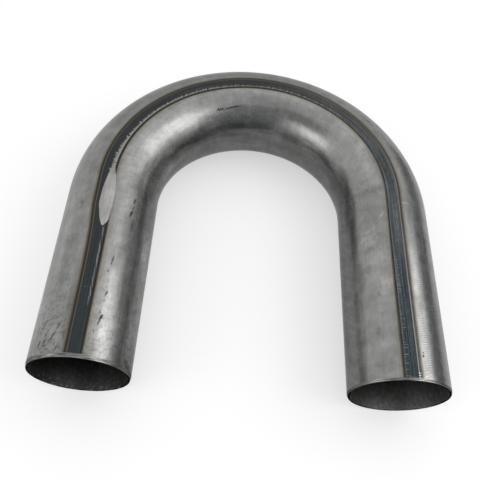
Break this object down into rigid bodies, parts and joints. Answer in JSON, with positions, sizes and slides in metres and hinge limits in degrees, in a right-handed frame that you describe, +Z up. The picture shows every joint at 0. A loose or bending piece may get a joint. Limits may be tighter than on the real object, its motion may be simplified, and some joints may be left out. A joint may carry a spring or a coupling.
{
  "type": "return bend",
  "caption": "U-shaped return bend of raw seam-welded steel tube with straight legs and open ends, for turning a pipe or exhaust run straight back on itself.",
  "frame": {"origin": "middle of the footprint, on the surface that the bend lies on", "axes": "+Z up, +Y from the open ends towards the crown of the bend, +X from the left leg to the right leg"},
  "size_m": [0.235, 0.2364, 0.0571],
  "materials": {
    "raw_steel": "raw mill-finish cold-rolled steel, uncoated, with a heat-tinted shaved weld seam, die scuffs and ground ends"
  },
  "bodies": {
    "root": {"return_bend": "raw_steel"}
  },
  "joints": []
}
